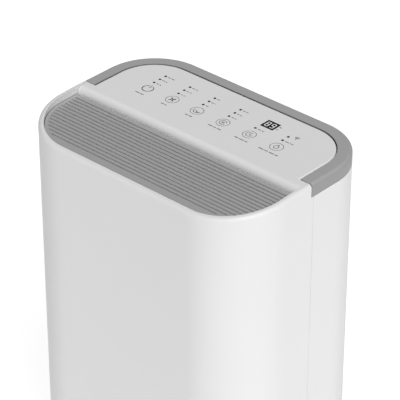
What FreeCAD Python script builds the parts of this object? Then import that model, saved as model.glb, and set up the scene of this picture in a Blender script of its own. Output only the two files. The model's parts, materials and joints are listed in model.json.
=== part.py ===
import FreeCAD, Part
import math
import os

# Compact domestic dehumidifier. Millimetres, +Z up, front towards -Y, right towards +X.
# The origin is on the floor under the middle of the body.

V = FreeCAD.Vector
X, Y, Z = V(1, 0, 0), V(0, 1, 0), V(0, 0, 1)

# Overall sizes of the body, seen from above
WIDTH = 350.0
DEPTH = 235.0
HEIGHT = 510.0
FRONT_RADIUS = 75.0
REAR_RADIUS = 71.0
FOOT_HEIGHT = 12.0
WALL = 2.5

# Clearances
OVER = 1.0                # how far a cutting tool runs past what it cuts
SEAM = 0.2                # hairline between two fixed covers
SNUG = 0.1                # flush insert in its hole
PIN_FIT = 0.05            # radial gap of a turning pin
SLIDE_GAP = 0.5           # each side of a piece that is drawn out
RUN_GAP = 1.2             # round the folding handle

# Top rim, rounded edge and the slope that falls to the front
TOP_ROUND = 4.5
RIM_WIDTH = 6.4
RIM_DEPTH = 22.0
SLOPE_START = -9.0
SLOPE_RADIUS = 480.0
SEAM_Y = 4.7

# Folding carry handle
HANDLE_WIDTH = 17.0
HANDLE_HEIGHT = 16.0
HANDLE_FRONT = 2.0
HANDLE_END_GAP = 1.4
HANDLE_PIVOT_BACK = 3.6   # pivot behind the front end
HANDLE_PIVOT_DROP = 4.0   # pivot below the top
HANDLE_EDGE = 1.5         # rounding of the end's upper and lower edges
HANDLE_CORNER = 3.0       # rounding of the end's outer edge, seen from above
HANDLE_PIN = 1.5
HANDLE_PIN_IN_ARM = 9.0
HANDLE_PIN_INSIDE = 5.0
LEDGE_GAP = 0.4
LEDGE = 4.0
FINGER_WIDTH = 90.0
FINGER_DEPTH = 14.0

# Control deck
DECK_DROP = 0.2           # deck below the rim, so that prints on it don't rub
DECK_FRONT = -16.0
DECK_ROLL = 8.0
DECK_LIP = 11.0
DECK_SKIRT = 18.0
DECK_EDGE = 2.0
BUTTON_X = (-105.0, -66.0, -27.0, 13.0, 53.0, 93.5)
LIGHTS_PER_BUTTON = (3, 3, 3, 3, 1, 2)
LIGHT_SHIFT = -4.5
LIGHT_Y = 52.5
LIGHT_PITCH = 10.0
LIGHT_RADIUS = 1.3
DISPLAY_X = 57.0
DISPLAY_Y = 69.0
DISPLAY_SIZE = (18.4, 16.0)
BOARD_THICK = 1.6
BOARD_DROP = 12.0         # deck top to the board's upper face
BOARD_HALF = 125.0
BOARD_FRONT = 14.0
BOARD_BACK = 84.0
POST_RADIUS = 3.0
POST_INSET = 6.0
MODULE_EDGE = 1.0         # display module past its window
PIN_BLOCK_EDGE = 1.0      # block past the pin that turns in it

# Outlet louvre
LOUVRE_DROP = 8.4         # deck top to louvre top at the hinge
LOUVRE_GAP = 0.9          # to the rim
HINGE_GAP = 0.3           # deck front to the barrel
LOUVRE_THICK = 3.0
LOUVRE_BARREL = 2.6
LOUVRE_TILT = 1.65
LOUVRE_PIN = 1.6
LOUVRE_PIN_LENGTH = 4.0
GROOVES = 14
GROOVE_PITCH = 5.8
GROOVE_WIDTH = 2.9
GROOVE_DEPTH = 1.6
GROOVE_MARGIN = 4.5
FIRST_GROOVE = 9.0        # deck step to the first groove's middle
SECTOR_RADIUS = 18.0
SECTOR_REACH = (-12.0, 58.0)   # degrees from straight down, towards the back
SECTOR_THICK = 4.0
PINION_RADIUS = 6.0
PINION_GAP = 0.3
LOUVRE_MOTOR_RADIUS = 12.0
LOUVRE_MOTOR_LENGTH = 18.0
LOUVRE_SHAFT = 2.0
SECTOR_SIDE = 2.0         # motor can to the sector

# Base
PAN_THICK = 4.0
FOOT_RADIUS = 14.0
FOOT_X = 125.0
FOOT_Y = 80.0
FOOT_TAPER = 2.0
FOOT_RECESS = 4.0
FOOT_HEAD_LIFT = 2.0
RUNNER_X = 90.0
RUNNER_HALF = 4.0

# Screws
SCREW = 2.5
HEAD_THICK = 2.0
HEAD_OVERLAP = 0.5        # of the shank in its head
FOOT_HEAD = 5.0
SHELL_HEAD = 3.8
HEAD_FIT = 0.2
SHELL_SCREW_LENGTH = 11.0
SHELL_SCREW_SINK = 3.0
SHELL_SCREW_INSET = 8.0   # from the grille's side
SHELL_SCREW_RISE = 22.0   # above the grille
BOSS_RADIUS = 5.0
BOSS_LENGTH = 12.0
BOSS_BORE = 19.0

# Compressor room
COMP_X = 60.0
COMP_RADIUS = 48.0
COMP_HEIGHT = 150.0
COMP_ROUND = 18.0
COMP_CLEAR = 6.0
COMP_PLATE = (12.0, -3.0, 3.0)   # half sizes past the can's radius, and thickness
COVER_X = (-32.0, -6.0)   # terminal cover, from the compressor's axis
COVER_HALF = 12.0
COVER_HEIGHT = 14.0
GROMMET_RADIUS = 8.0
GROMMET_HEIGHT = 12.0
GROMMET_AT = (2.0, -12.0)        # past the can's radius
TANKLET_RADIUS = 18.0
TANKLET_HEIGHT = 100.0
TANKLET_LIFT = 45.0
STRAP_Y = (2.0, 14.0)
STRAP_HEIGHT = 10.0
PARTITION = 2.0
PARTITION_EDGE = 20.0
BOX_X0 = -120.0
BOX_X1 = -20.0
BOX_HEIGHT = 130.0
BOX_WALL = 2.0
BOX_FRONT_CLEAR = 11.0
BOX_BACK_CLEAR = 2.0
BOX_INSIDE = 6.0          # board and capacitor to the box wall
BOARD_SHORT = 20.0
CAPACITOR_RADIUS = 18.0
CAPACITOR_HEIGHT = 70.0

# Water tank
TANK_HALF = 130.0
TANK_HEIGHT = 150.0
TANK_WALL = 2.5
TANK_CLEAR = 2.0
RUNNER = 4.0
LID_THICK = 3.0
TOWER_HALF = 10.0
TOWER_WALL = 4.0
TOWER_BACK = 3.0
TOWER_DEPTH = 14.0
TOWER_HEIGHT = 60.0
LID_GAP = 13.0            # lid to drain pan
DRIP_RADIUS = 15.0
GRIP = (45.0, 26.0, 16.0)
GRIP_DROP = 18.0
FLOAT_ARM = 60.0
FLOAT_PIN = 2.0
FLOAT_PIN_Y = 9.0         # behind the tank's front
FLOAT_PIN_DROP = 50.0
FLOAT_BARREL = 4.0
FLOAT_BARREL_HALF = 5.0
FLOAT_ARM_SIZE = (3.0, 2.0)
FLOAT_HALF = 20.0
FLOAT_BACK = 20.0
FLOAT_Z = (-14.0, 1.0)
SWITCH_X = (90.0, 110.0)
SWITCH_BACK = 20.0
SWITCH_DEPTH = 8.0
SWITCH_HEIGHT = 9.0

# Drain pan, port and cord bush
DRAIN_DEPTH = 12.0
DRAIN_WALL = 2.0
SPOUT_RADIUS = 7.0
SPOUT_LENGTH = 8.0
SPOUT_WALL = 2.0
DRAIN_RIB_X = 80.0
DRAIN_RIB_HALF = 3.0
SPOUT_X = -40.0
SPOUT_AHEAD = 12.0        # ahead of the coils
PORT_X = 70.0
PORT_RADIUS = 8.0
PORT_BORE = 4.0
PORT_LIP = 0.6
PLUG_HEAD = 9.0
PLUG_DEPTH = 5.3
BUSH_RADIUS = 9.0
BUSH_BORE = 4.0
BUSH_LENGTH = 9.0

# Air path
GRILLE_HALF = 98.0
GRILLE_HEIGHT = 230.0
GRILLE_LIFT = 7.0
GRILLE_THICK = 5.5
GRILLE_FRAME = 8.0
SLAT_PITCH = 9.0
SLAT = 2.2
SLAT_SINK = 1.0
POST_X = (-45.0, 0.0, 45.0)
POST_SINK = 2.0
FILTER_THICK = 5.0
FILTER_EDGE = 6.0
FILTER_INSET = 4.0        # inside the grille's outline
FILTER_SHEET = 1.0
COIL_THICK = 20.0
COIL_HALF = 110.0
COIL_HEIGHT = 236.0
COIL_GAP = 2.0
COIL_AIR = 8.0
COIL_RIB = 4.0
COIL_TUBE = 4.0
COIL_BEND = 10.0
COIL_BENDS = 5
SCROLL_RADIUS = 98.0
SCROLL_DEPTH = 64.0
SCROLL_THROAT = 10.0
SCROLL_RISE = 115.0
SCROLL_LIFT = 134.0       # drain pan floor to the fan's axis
FAN_RADIUS = 82.0
FAN_EYE = 64.0
BLADES = 36
BLADE = 1.4
BLADE_LEAN = 32.0
FAN_HUB = 14.0
HUB_LENGTH = 24.0
HUB_HOLE_GAP = 2.0
WHEEL_PLATE = 2.0
WHEEL_FRONT_GAP = 1.5
WHEEL_BACK_GAP = 3.5
EYE_LAP = 2.0             # wheel's inside past the scroll's eye
BLADE_TIP = 2.0
FAN_SHAFT = 4.0
BULKHEAD = 2.0
BULKHEAD_HALF = 115.0
MOTOR_RADIUS = 40.0
MOTOR_LENGTH = 48.0
MOTOR_ROUND = 4.0
SHAFT_START = 2.0
SHAFT_REACH = 28.0        # past the motor
BULKHEAD_DROP = 4.0
DUCT_TOP_HALF = 116.0
DUCT_TOP_DROP = 24.0
DUCT_COLLAR = 20.0
DUCT_WALL = 2.0
DUCT_FRONT = 9.0
DUCT_REAR = 4.0
SENSOR_GAP = 3.0
SENSOR_DEPTH = 6.0
SENSOR_HALF = 10.0
SENSOR_EDGE = 1.0
PIPE = 4.0
PIPE_BEND = 14.0
PIPE_SIDE = 146.0
DISCHARGE_SIDE = 20.0     # from the compressor's axis

# Heights and depths worked out from the sizes above
FRONT = -DEPTH / 2
REAR = DEPTH / 2
DECK_TOP = HEIGHT - DECK_DROP
DECK_LOW = DECK_TOP - DECK_SKIRT
PAN_TOP = FOOT_HEIGHT + PAN_THICK
LEDGE_Z = HEIGHT - HANDLE_HEIGHT - LEDGE_GAP
NOTCH_Y = HANDLE_FRONT - HANDLE_END_GAP
PIVOT_Y = HANDLE_FRONT + HANDLE_PIVOT_BACK
PIVOT_Z = HEIGHT - HANDLE_PIVOT_DROP
HINGE_Y = DECK_FRONT - HINGE_GAP - LOUVRE_BARREL
HINGE_Z = DECK_TOP - LOUVRE_DROP - LOUVRE_BARREL
BOARD_TOP = DECK_TOP - BOARD_DROP
COMP_Y = FRONT + WALL + COMP_CLEAR + COMP_RADIUS
COMP_Z = PAN_TOP + GROMMET_HEIGHT
COMP_BASE = COMP_Z + COMP_PLATE[2]
COMP_TOP = COMP_BASE + COMP_HEIGHT
PARTITION_Y = COMP_Y + COMP_RADIUS + COMP_CLEAR
BOX_FRONT = FRONT + WALL + BOX_FRONT_CLEAR
BOX_BACK = PARTITION_Y - BOX_BACK_CLEAR
BOX_TOP = PAN_TOP + BOX_HEIGHT
TANK_Y = PARTITION_Y + PARTITION + TANK_CLEAR
TANK_Z = PAN_TOP + RUNNER
TANK_TOP = TANK_Z + TANK_HEIGHT
LID_TOP = TANK_TOP + LID_THICK
FLOAT_Y = TANK_Y + FLOAT_PIN_Y
FLOAT_PIVOT_Z = TANK_TOP - FLOAT_PIN_DROP
DRAIN_Z = LID_TOP + LID_GAP
DRAIN_FLOOR = DRAIN_Z + DRAIN_WALL
DRAIN_TOP = DRAIN_Z + DRAIN_DEPTH
PORT_Z = DRAIN_FLOOR + PORT_LIP + PORT_BORE
GRILLE_Z = DRAIN_TOP + GRILLE_LIFT
GRILLE_Y = REAR - GRILLE_THICK
FILTER_Y = GRILLE_Y - FILTER_THICK
COIL_Z = DRAIN_FLOOR + COIL_RIB
EVAP_Y = FILTER_Y - COIL_AIR - COIL_THICK
COND_Y = EVAP_Y - COIL_GAP - COIL_THICK
SPOUT_Y = COND_Y - SPOUT_AHEAD
SCROLL_Y = COND_Y - COIL_GAP - SCROLL_DEPTH
FAN_Z = DRAIN_FLOOR + SCROLL_LIFT
BULKHEAD_Y = SCROLL_Y - BULKHEAD
DRAIN_FRONT = min(BULKHEAD_Y, PARTITION_Y) - DRAIN_WALL
DRAIN_REAR = EVAP_Y + COIL_THICK + COIL_RIB
THROAT_Z = FAN_Z + SCROLL_RISE
TANKLET_X = max(COMP_X + COMP_RADIUS + COMP_CLEAR + TANKLET_RADIUS, COIL_HALF + PIPE_BEND + PIPE)
TANKLET_Y = COMP_Y + TANKLET_RADIUS
SECTOR_X = DUCT_TOP_HALF + LOUVRE_MOTOR_LENGTH + SECTOR_SIDE
TUBE_PITCH = COIL_HEIGHT / COIL_BENDS


def box(x0, x1, y0, y1, z0, z1):
    return Part.makeBox(x1 - x0, y1 - y0, z1 - z0, V(x0, y0, z0))


def rod(radius, start, direction, length):
    return Part.makeCylinder(radius, length, start, direction)


def tube(outer, inner, start, direction, length):
    return rod(outer, start, direction, length).cut(rod(inner, start, direction, length))


def join(shapes):
    first, rest = shapes[0], shapes[1:]
    return first.fuse(rest).removeSplitter() if rest else first


def outline(inset):
    """Closed wire of the body seen from above, moved in by inset, at z = 0."""
    half, front, rear = WIDTH / 2 - inset, FRONT + inset, REAR - inset
    edges = []
    corners = [(1, -1, FRONT_RADIUS), (1, 1, REAR_RADIUS), (-1, 1, REAR_RADIUS), (-1, -1, FRONT_RADIUS)]
    points = []
    for sx, sy, full in corners:
        r = full - inset
        cx, cy = sx * (half - r), (front + r) if sy < 0 else (rear - r)
        side, end = V(cx + sx * r, cy, 0), V(cx, cy + sy * r, 0)
        middle = V(cx + sx * r * math.sqrt(0.5), cy + sy * r * math.sqrt(0.5), 0)
        points.append((end, middle, side) if sx * sy < 0 else (side, middle, end))
    for i, (a, m, b) in enumerate(points):
        edges.append(Part.Arc(a, m, b).toShape())
        edges.append(Part.LineSegment(b, points[(i + 1) % 4][0]).toShape())
    return Part.Wire(edges)


def prism(inset, z0, z1):
    wire = outline(inset)
    wire.translate(V(0, 0, z0))
    return Part.Face(wire).extrude(V(0, 0, z1 - z0))


def body_block():
    """The whole body as one lump, with the slope to the front and the rounded top edge."""
    block = prism(0, FOOT_HEIGHT, HEIGHT)
    limit = HEIGHT - SLOPE_RADIUS / 8
    cylinder = rod(SLOPE_RADIUS, V(-WIDTH, SLOPE_START, HEIGHT - SLOPE_RADIUS), X, 2 * WIDTH)
    above = box(-WIDTH, WIDTH, FRONT - OVER, SLOPE_START, limit, HEIGHT + OVER)
    block = block.cut(above.cut(cylinder))
    edges = []
    for edge in block.Edges:
        b = edge.BoundBox
        across_slope = b.YLength < 1e-6 and abs(edge.CenterOfMass.y - SLOPE_START) < OVER
        if b.ZMin > limit and b.XLength + b.YLength > OVER and not across_slope:
            edges.append(edge)
    return block.makeFillet(TOP_ROUND, edges)


def front_shell(block):
    shell = block.common(box(-WIDTH, WIDTH, FRONT - OVER, SEAM_Y - SEAM / 2, 0, HEIGHT + OVER))
    shell = shell.cut(prism(WALL, 0, HEIGHT - RIM_DEPTH))
    shell = shell.cut(prism(RIM_WIDTH, HEIGHT - RIM_DEPTH - OVER, HEIGHT + OVER))
    shell = shell.cut(box(-WIDTH, WIDTH, NOTCH_Y, SEAM_Y + OVER, LEDGE_Z, HEIGHT + OVER))
    hole = LOUVRE_PIN_LENGTH + LOUVRE_GAP
    start = WIDTH / 2 - RIM_WIDTH - OVER
    for side in (-1, 1):
        shell = shell.cut(rod(LOUVRE_PIN + PIN_FIT, V(side * start, HINGE_Y, HINGE_Z), X * side, hole))
    return shell


def rear_shell(block):
    shell = block.common(box(-WIDTH, WIDTH, SEAM_Y + SEAM / 2, REAR + OVER, 0, LEDGE_Z))
    shell = shell.cut(prism(WALL, 0, LEDGE_Z - LEDGE))
    inner = HANDLE_WIDTH + RUN_GAP - SEAM
    shell = shell.cut(prism(inner, LEDGE_Z - LEDGE - OVER, LEDGE_Z + OVER))
    for side in (-1, 1):
        edge = sorted((side * (WIDTH / 2 - inner), side * (WIDTH / 2 - RIM_WIDTH - SEAM)))
        shell = join([shell, box(*edge, NOTCH_Y + SEAM, SEAM_Y + OVER, LEDGE_Z - LEDGE, LEDGE_Z)])
    for at in shell_screw_places():
        shell = join([shell, rod(BOSS_RADIUS, at - Y * WALL, -Y, BOSS_LENGTH)])
        shell = shell.cut(rod(SCREW, at + Y * OVER, -Y, BOSS_BORE + OVER))
        shell = shell.cut(rod(SHELL_HEAD + HEAD_FIT, at + Y * OVER, -Y, SHELL_SCREW_SINK + OVER))
    half = TANK_HALF + SLIDE_GAP * 2
    shell = shell.cut(box(-half, half, TANK_Y, REAR + OVER, TANK_Z - OVER, LID_TOP + OVER))
    half = GRILLE_HALF + SLIDE_GAP
    top = GRILLE_Z + GRILLE_HEIGHT + SLIDE_GAP
    shell = shell.cut(box(-half, half, GRILLE_Y, REAR + OVER, GRILLE_Z - SLIDE_GAP, top))
    floor = LEDGE_Z - FINGER_DEPTH
    half = FINGER_WIDTH / 2
    scoop = box(-half - WALL, half + WALL, REAR - inner - WALL, REAR - WALL / 2, floor - WALL, LEDGE_Z)
    shell = join([shell, scoop])
    shell = shell.cut(prism(inner, DECK_LOW - SEAM, LEDGE_Z + OVER))
    shell = shell.cut(box(-half, half, REAR - inner, REAR + OVER, floor, LEDGE_Z + OVER))
    depth = BUSH_LENGTH + OVER
    shell = shell.cut(rod(PLUG_HEAD + OVER, V(PORT_X, REAR + OVER, PORT_Z), -Y, depth))
    return shell.cut(rod(BUSH_RADIUS + SNUG, V(-PORT_X, REAR + OVER, PORT_Z), -Y, depth))


def shell_screw_places():
    z = GRILLE_Z + GRILLE_HEIGHT + SHELL_SCREW_RISE
    return [V(side * (GRILLE_HALF - SHELL_SCREW_INSET), REAR, z) for side in (-1, 1)]


def deck_block():
    """The deck as one lump, rolled at the front and rounded along the handle."""
    gap = HANDLE_WIDTH + RUN_GAP
    half = WIDTH / 2 - RIM_WIDTH - SEAM
    island = prism(gap, DECK_LOW, DECK_TOP)
    island = island.common(box(-WIDTH, WIDTH, NOTCH_Y - OVER, REAR, DECK_LOW, DECK_TOP))
    island = join([island, box(-half, half, DECK_FRONT, NOTCH_Y, DECK_LOW, DECK_TOP)])
    top = [e for e in island.Edges if e.BoundBox.ZMin > DECK_TOP - 1e-6]
    island = island.makeFillet(DECK_ROLL, [e for e in top if e.BoundBox.YMax < DECK_FRONT + 1e-6])
    top = [e for e in island.Edges if e.BoundBox.ZMin > DECK_TOP - 1e-6]
    rear = [e for e in top if e.BoundBox.YMin > NOTCH_Y - 1e-6 and e.BoundBox.YMax > NOTCH_Y + 1e-3]
    return island.makeFillet(DECK_EDGE, rear)


def control_deck():
    gap = HANDLE_WIDTH + RUN_GAP
    half = WIDTH / 2 - RIM_WIDTH - SEAM
    under = DECK_TOP - WALL
    low = DECK_LOW - OVER
    room = prism(gap + WALL, low, under).common(box(-WIDTH, WIDTH, NOTCH_Y - WALL, REAR, 0, under))
    front = box(-half + WALL, half - WALL, DECK_FRONT + DECK_ROLL, NOTCH_Y - WALL, low, under)
    lip = box(-half - OVER, half + OVER, DECK_FRONT - OVER, DECK_FRONT + DECK_ROLL, low, DECK_TOP - DECK_LIP)
    deck = deck_block().cut([room, front]).cut(lip)
    for x in (-BOARD_HALF + POST_INSET, BOARD_HALF - POST_INSET):
        for y in (BOARD_FRONT + POST_INSET, BOARD_BACK - POST_INSET):
            deck = join([deck, rod(POST_RADIUS, V(x, y, BOARD_TOP), Z, BOARD_DROP - WALL / 2)])
    deck = deck.cut(display_plan(SNUG, under - OVER, DECK_TOP + OVER))
    through = WALL + 2 * OVER
    deck = deck.cut([rod(LIGHT_RADIUS + SNUG, V(x, y, under - OVER), Z, through) for x, y in light_places()])
    skirt = WIDTH / 2 - gap
    reach = HANDLE_PIN_INSIDE + OVER
    spread = 2 * HANDLE_PIN + PIN_BLOCK_EDGE
    for side in (-1, 1):
        ends = sorted((side * (skirt - OVER), side * (skirt - reach - WALL)))
        block = box(*ends, NOTCH_Y - WALL / 2, PIVOT_Y + spread, PIVOT_Z - spread, DECK_TOP - WALL / 2)
        deck = join([deck, block])
        start = V(side * (skirt + OVER), PIVOT_Y, PIVOT_Z)
        deck = deck.cut(rod(HANDLE_PIN + PIN_FIT, start, -X * side, reach + OVER))
    return deck


def display_plan(edge, z0, z1):
    """A box on the display window's outline, moved out by edge."""
    half, deep = DISPLAY_SIZE[0] / 2 + edge, DISPLAY_SIZE[1] / 2 + edge
    return box(DISPLAY_X - half, DISPLAY_X + half, DISPLAY_Y - deep, DISPLAY_Y + deep, z0, z1)


def light_places():
    places = []
    for x, count in zip(BUTTON_X, LIGHTS_PER_BUTTON):
        places += [(x + LIGHT_SHIFT, LIGHT_Y + LIGHT_PITCH * i) for i in range(count)]
    return places


def indicator_lenses():
    lenses = [rod(LIGHT_RADIUS, V(x, y, BOARD_TOP), Z, BOARD_DROP) for x, y in light_places()]
    return Part.makeCompound(lenses)


def display_window():
    return display_plan(0, DECK_TOP - WALL, DECK_TOP)


def display_module():
    return display_plan(MODULE_EDGE, BOARD_TOP, DECK_TOP - WALL)


def control_board():
    return box(-BOARD_HALF, BOARD_HALF, BOARD_FRONT, BOARD_BACK, BOARD_TOP - BOARD_THICK, BOARD_TOP)


def carry_handle(block):
    """The ring, with its front ends eased so that they clear the ledge and the notch as they turn."""
    low, edge, corner = HEIGHT - HANDLE_HEIGHT, HANDLE_EDGE, HANDLE_CORNER
    ring = block.common(box(-WIDTH, WIDTH, HANDLE_FRONT, REAR + OVER, low, HEIGHT + OVER))
    ring = ring.cut(prism(HANDLE_WIDTH, low - OVER, HEIGHT + OVER))
    back = HANDLE_FRONT + edge
    for end, middle in ((low - OVER, low + edge), (HEIGHT + OVER, HEIGHT - edge)):
        sharp = box(-WIDTH, WIDTH, HANDLE_FRONT - OVER, back, min(end, middle), max(end, middle))
        ring = ring.cut(sharp.cut(rod(edge, V(-WIDTH, back, middle), X, 2 * WIDTH)))
    for side in (-1, 1):
        x = side * (WIDTH / 2 - corner)
        ends = sorted((x, side * (WIDTH / 2 + OVER)))
        sharp = box(*ends, HANDLE_FRONT - OVER, HANDLE_FRONT + corner, low - OVER, HEIGHT + OVER)
        post = rod(corner, V(x, HANDLE_FRONT + corner, low - 2 * OVER), Z, HANDLE_HEIGHT + 4 * OVER)
        ring = ring.cut(sharp.cut(post))
    return ring.cut(handle_pins())


def handle_pins():
    start = WIDTH / 2 - HANDLE_WIDTH + HANDLE_PIN_IN_ARM
    length = HANDLE_PIN_IN_ARM + RUN_GAP + HANDLE_PIN_INSIDE
    pins = [rod(HANDLE_PIN, V(side * start, PIVOT_Y, PIVOT_Z), -X * side, length) for side in (-1, 1)]
    return Part.makeCompound(pins)


def outlet_louvre():
    top = DECK_TOP - LOUVRE_DROP
    inset = RIM_WIDTH + LOUVRE_GAP
    half = WIDTH / 2 - inset
    plate = prism(inset, top - LOUVRE_THICK, top).common(box(-WIDTH, WIDTH, FRONT, HINGE_Y, 0, HEIGHT))
    plate = join([plate, rod(LOUVRE_BARREL, V(-half, HINGE_Y, HINGE_Z), X, 2 * half)])
    field = prism(inset + GROOVE_MARGIN, top - GROOVE_DEPTH, top + OVER)
    grooves = []
    for i in range(GROOVES):
        y = DECK_FRONT - FIRST_GROOVE - GROOVE_PITCH * i - GROOVE_WIDTH / 2
        grooves.append(box(-WIDTH, WIDTH, y, y + GROOVE_WIDTH, top - GROOVE_DEPTH, top + OVER).common(field))
    plate = plate.cut(grooves)
    for side in (-1, 1):
        start = V(side * (half - OVER), HINGE_Y, HINGE_Z)
        plate = join([plate, rod(LOUVRE_PIN, start, X * side, OVER + LOUVRE_PIN_LENGTH)])
    plate.rotate(V(0, HINGE_Y, HINGE_Z), X, LOUVRE_TILT)
    return plate


def louvre_sector(louvre):
    start = V(SECTOR_X, HINGE_Y, HINGE_Z)
    disc = rod(SECTOR_RADIUS, start, X, SECTOR_THICK)
    rays = [V(0, math.sin(math.radians(a)), -math.cos(math.radians(a))) for a in SECTOR_REACH]
    corners = [start, start + rays[0] * 2 * SECTOR_RADIUS, start + rays[1] * 2 * SECTOR_RADIUS, start]
    wedge = Part.Face(Part.makePolygon(corners)).extrude(X * SECTOR_THICK)
    return disc.common(wedge).cut(louvre)


def pinion_place():
    reach = SECTOR_RADIUS + PINION_RADIUS + PINION_GAP
    return V(SECTOR_X, HINGE_Y, HINGE_Z - reach)


def louvre_pinion():
    wheel = rod(PINION_RADIUS, pinion_place(), X, SECTOR_THICK)
    reach = LOUVRE_MOTOR_LENGTH / 2
    return join([wheel, rod(LOUVRE_SHAFT, pinion_place() - X * reach, X, reach + OVER)])


def louvre_motor():
    start = pinion_place()
    start.x = DUCT_TOP_HALF
    can = rod(LOUVRE_MOTOR_RADIUS, start, X, LOUVRE_MOTOR_LENGTH)
    return can.cut(rod(LOUVRE_SHAFT + PIN_FIT, start + X * SECTOR_SIDE, X, LOUVRE_MOTOR_LENGTH))


def base_pan():
    pan = prism(WALL + SEAM, FOOT_HEIGHT, PAN_TOP)
    runners = []
    for side in (-1, 1):
        x0, x1 = side * RUNNER_X - RUNNER_HALF, side * RUNNER_X + RUNNER_HALF
        runners.append(box(x0, x1, TANK_Y, REAR - 2 * WALL, PAN_TOP - OVER, TANK_Z))
    pan = join([pan] + runners)
    return pan.cut([rod(SCREW, V(x, y, 0), Z, PAN_TOP + OVER) for x, y in foot_places()])


def foot_places():
    return [(sx * FOOT_X, sy * FOOT_Y) for sx in (-1, 1) for sy in (-1, 1)]


def rubber_feet():
    feet = []
    for x, y in foot_places():
        foot = Part.makeCone(FOOT_RADIUS - FOOT_TAPER, FOOT_RADIUS, FOOT_HEIGHT, V(x, y, 0), Z)
        foot = foot.cut(rod(FOOT_HEAD, V(x, y, -OVER), Z, FOOT_RECESS + OVER))
        feet.append(foot.cut(rod(SCREW, V(x, y, 0), Z, FOOT_HEIGHT)))
    return Part.makeCompound(feet)


def screw(head, start, direction, length):
    """A pan head screw: head at the start, shank along the direction."""
    shank = start + direction * (HEAD_THICK - HEAD_OVERLAP)
    return join([rod(head, start, direction, HEAD_THICK), rod(SCREW, shank, direction, length)])


def foot_screws():
    length = PAN_TOP - 2 * FOOT_HEAD_LIFT
    screws = [screw(FOOT_HEAD - SNUG, V(x, y, FOOT_HEAD_LIFT), Z, length) for x, y in foot_places()]
    return Part.makeCompound(screws)


def shell_screws():
    sink = SHELL_SCREW_SINK - HEAD_THICK
    screws = [screw(SHELL_HEAD, at - Y * sink, -Y, SHELL_SCREW_LENGTH) for at in shell_screw_places()]
    return Part.makeCompound(screws)


def end_rims(can, radius):
    """The two round end edges of an upright can."""
    return [e for e in can.Edges if abs(e.Length - 2 * math.pi * radius) < 1]


def compressor():
    can = rod(COMP_RADIUS, V(COMP_X, COMP_Y, COMP_BASE), Z, COMP_HEIGHT)
    can = can.makeFillet(COMP_ROUND, end_rims(can, COMP_RADIUS))
    past, short, thick = COMP_PLATE
    half = COMP_RADIUS + past
    deep = COMP_RADIUS + short
    plate = box(COMP_X - half, COMP_X + half, COMP_Y - deep, COMP_Y + deep, COMP_Z, COMP_Z + thick + OVER)
    return join([can, plate])


def compressor_grommets():
    gx, gy = [COMP_RADIUS + shift for shift in GROMMET_AT]
    places = [V(COMP_X + sx * gx, COMP_Y + sy * gy, PAN_TOP) for sx in (-1, 1) for sy in (-1, 1)]
    return Part.makeCompound([rod(GROMMET_RADIUS, at, Z, GROMMET_HEIGHT) for at in places])


def terminal_cover():
    x0, x1 = COMP_X + COVER_X[0], COMP_X + COVER_X[1]
    return box(x0, x1, COMP_Y - COVER_HALF, COMP_Y + COVER_HALF, COMP_TOP, COMP_TOP + COVER_HEIGHT)


def accumulator():
    can = rod(TANKLET_RADIUS, V(TANKLET_X, TANKLET_Y, COMP_Z + TANKLET_LIFT), Z, TANKLET_HEIGHT)
    return can.makeFillet(TANKLET_RADIUS / 2, end_rims(can, TANKLET_RADIUS))


def accumulator_strap(can, tanklet):
    z = COMP_Z + TANKLET_LIFT + TANKLET_HEIGHT / 2
    y0, y1 = COMP_Y + STRAP_Y[0], COMP_Y + STRAP_Y[1]
    strap = box(COMP_X + COMP_RADIUS / 2, TANKLET_X, y0, y1, z, z + STRAP_HEIGHT)
    return max(strap.cut([can, tanklet]).Solids, key=lambda solid: solid.Volume)


def bay_partition():
    half = TANK_HALF + PARTITION_EDGE
    return box(-half, half, PARTITION_Y, PARTITION_Y + PARTITION, PAN_TOP, DRAIN_Z)


def electrics_box():
    wall = BOX_WALL
    x0, x1, y0, y1 = BOX_X0 + wall, BOX_X1 - wall, BOX_FRONT + wall, BOX_BACK - wall
    outer = box(BOX_X0, BOX_X1, BOX_FRONT, BOX_BACK, PAN_TOP, BOX_TOP)
    return outer.cut(box(x0, x1, y0, y1, PAN_TOP + wall, BOX_TOP + OVER))


def electrics_cover():
    return box(BOX_X0, BOX_X1, BOX_FRONT, BOX_BACK, BOX_TOP, BOX_TOP + BOX_WALL)


def power_board():
    y = BOX_BACK - BOX_WALL - BOX_INSIDE
    low = PAN_TOP + BOX_WALL
    x0, x1 = BOX_X0 + BOX_INSIDE, BOX_X1 - BOX_INSIDE
    return box(x0, x1, y, y + BOARD_THICK, low, low + BOX_HEIGHT - BOARD_SHORT)


def run_capacitor():
    y = BOX_FRONT + BOX_WALL + CAPACITOR_RADIUS + BOX_INSIDE
    return rod(CAPACITOR_RADIUS, V((BOX_X0 + BOX_X1) / 2, y, PAN_TOP + BOX_WALL), Z, CAPACITOR_HEIGHT)


def tank_plan(inset, z0, z1):
    half = TANK_HALF - inset
    return prism(inset, z0, z1).common(box(-half, half, TANK_Y + inset, REAR + 1, z0, z1))


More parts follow.
